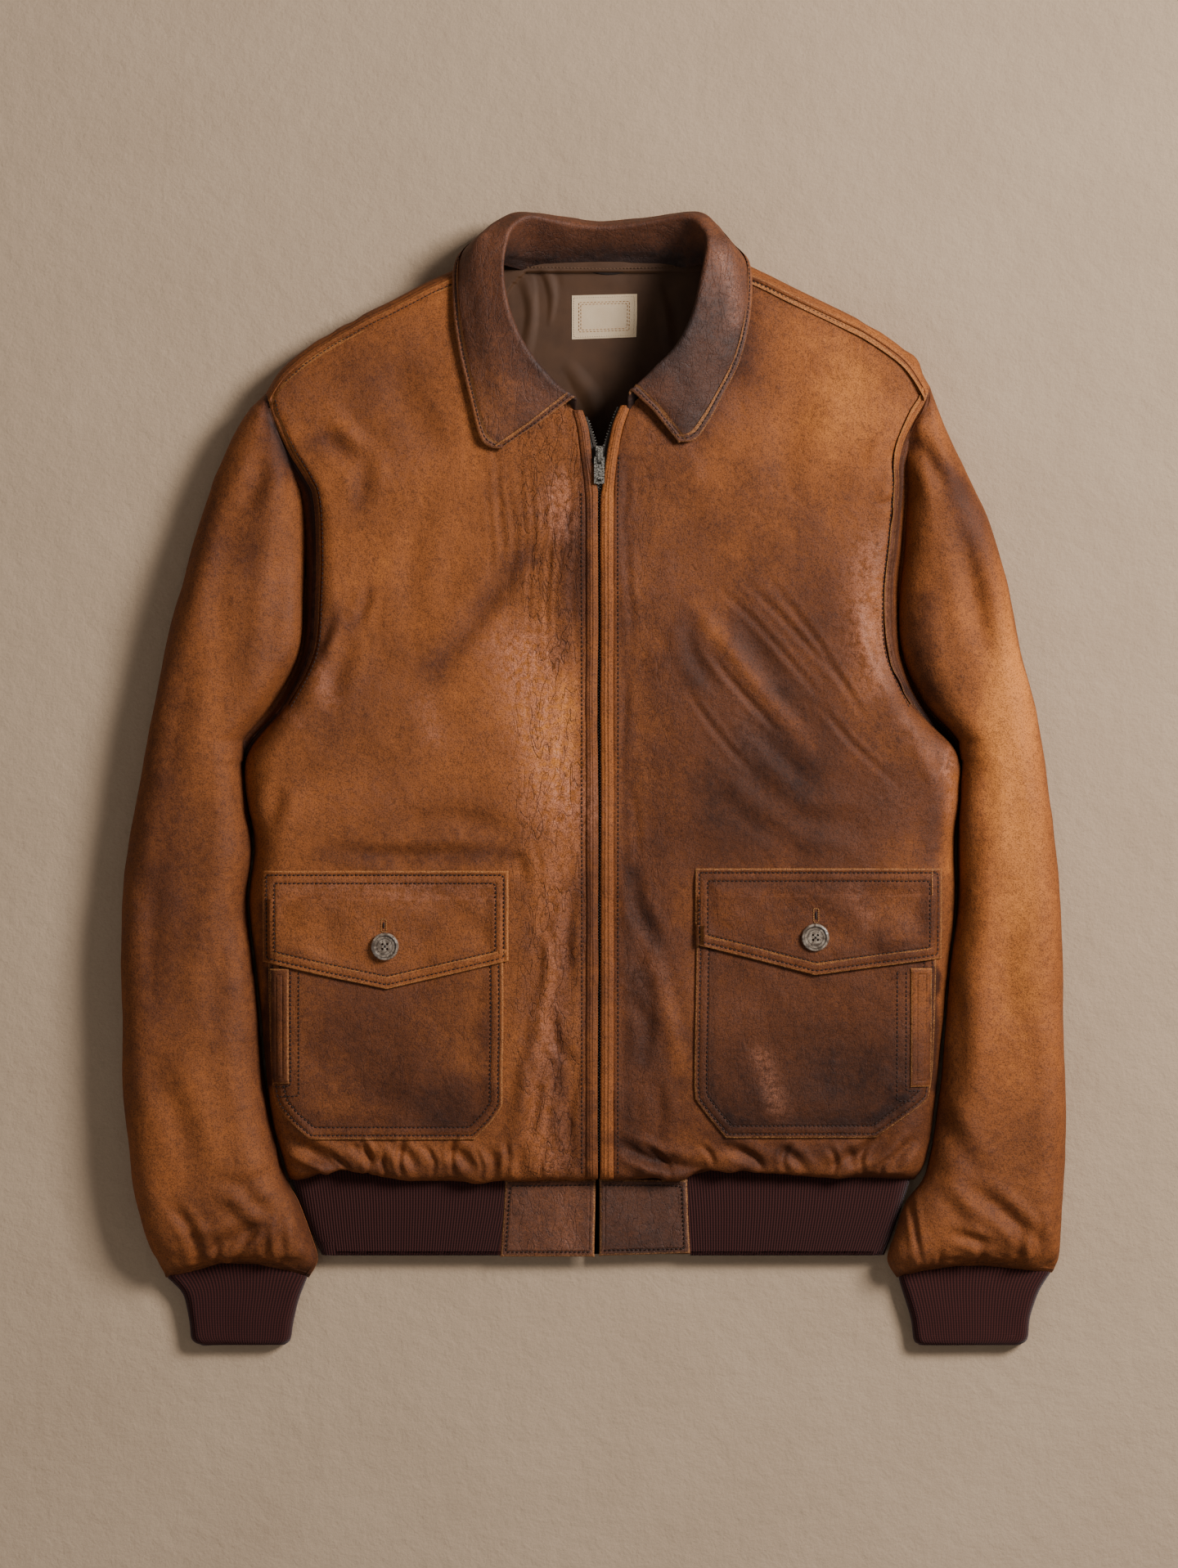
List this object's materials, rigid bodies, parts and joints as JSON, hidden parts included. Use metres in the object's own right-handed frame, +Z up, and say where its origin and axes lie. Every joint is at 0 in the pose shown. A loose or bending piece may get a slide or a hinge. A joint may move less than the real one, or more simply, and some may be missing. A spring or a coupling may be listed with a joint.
{
  "type": "leather jacket",
  "caption": "Worn brown leather flight jacket laid flat on its back, zipped, with an open shirt collar, knit cuffs and waistband and flap pockets.",
  "frame": {"origin": "middle of the bounding box, on the surface that the jacket lies on", "axes": "+X to the wearer's left, which is the picture's right; +Y from the waist to the collar; +Z up out of the jacket's front"},
  "size_m": [0.678, 0.8168, 0.0641],
  "materials": {
    "leather_tan": "worn waxed nappa with dark patina and pale edges",
    "leather_collar": "dark reddish brown, glossy from wear",
    "rib_knit": "dark maroon brown ribbed wool knit",
    "lining_cloth": "olive brown satin",
    "label_cloth": "cream woven label, blank",
    "loop_cord": "dark braided cord",
    "zip_tape": "woven cotton tape",
    "zip_metal": "antiqued brass, worn",
    "button_horn": "grey brown horn look, polished"
  },
  "bodies": {
    "jacket": {"back_panel": "leather_tan", "front_left": "leather_tan", "front_right": "leather_tan", "sleeve_left": "leather_tan", "sleeve_right": "leather_tan", "cuff_left": "rib_knit", "cuff_right": "rib_knit", "waist_rib": "rib_knit", "waist_tab_left": "leather_collar", "waist_tab_right": "leather_collar", "collar": "leather_collar", "pocket_left": "leather_tan", "pocket_right": "leather_tan", "flap_left": "leather_tan", "flap_right": "leather_tan", "side_welt_left": "leather_tan", "side_welt_right": "leather_tan", "button_left": "button_horn", "button_right": "button_horn", "zip_edge_left": "leather_tan", "zip_edge_right": "leather_tan", "zip_tape_left": "zip_tape", "zip_tape_right": "zip_tape", "zip_slider": "zip_metal", "back_lining": "lining_cloth", "neck_label": "label_cloth", "hanger_loop": "loop_cord"},
    "pull_tab": {"zip_pull": "zip_metal"}
  },
  "joints": [
    {"name": "pull_swing", "type": "hinge", "parent": "jacket", "child": "pull_tab", "pos_m": [0.00441, 0.23081, 0.04915], "axis": [-1, 0, 0], "range_deg": [0, 130]}
  ]
}
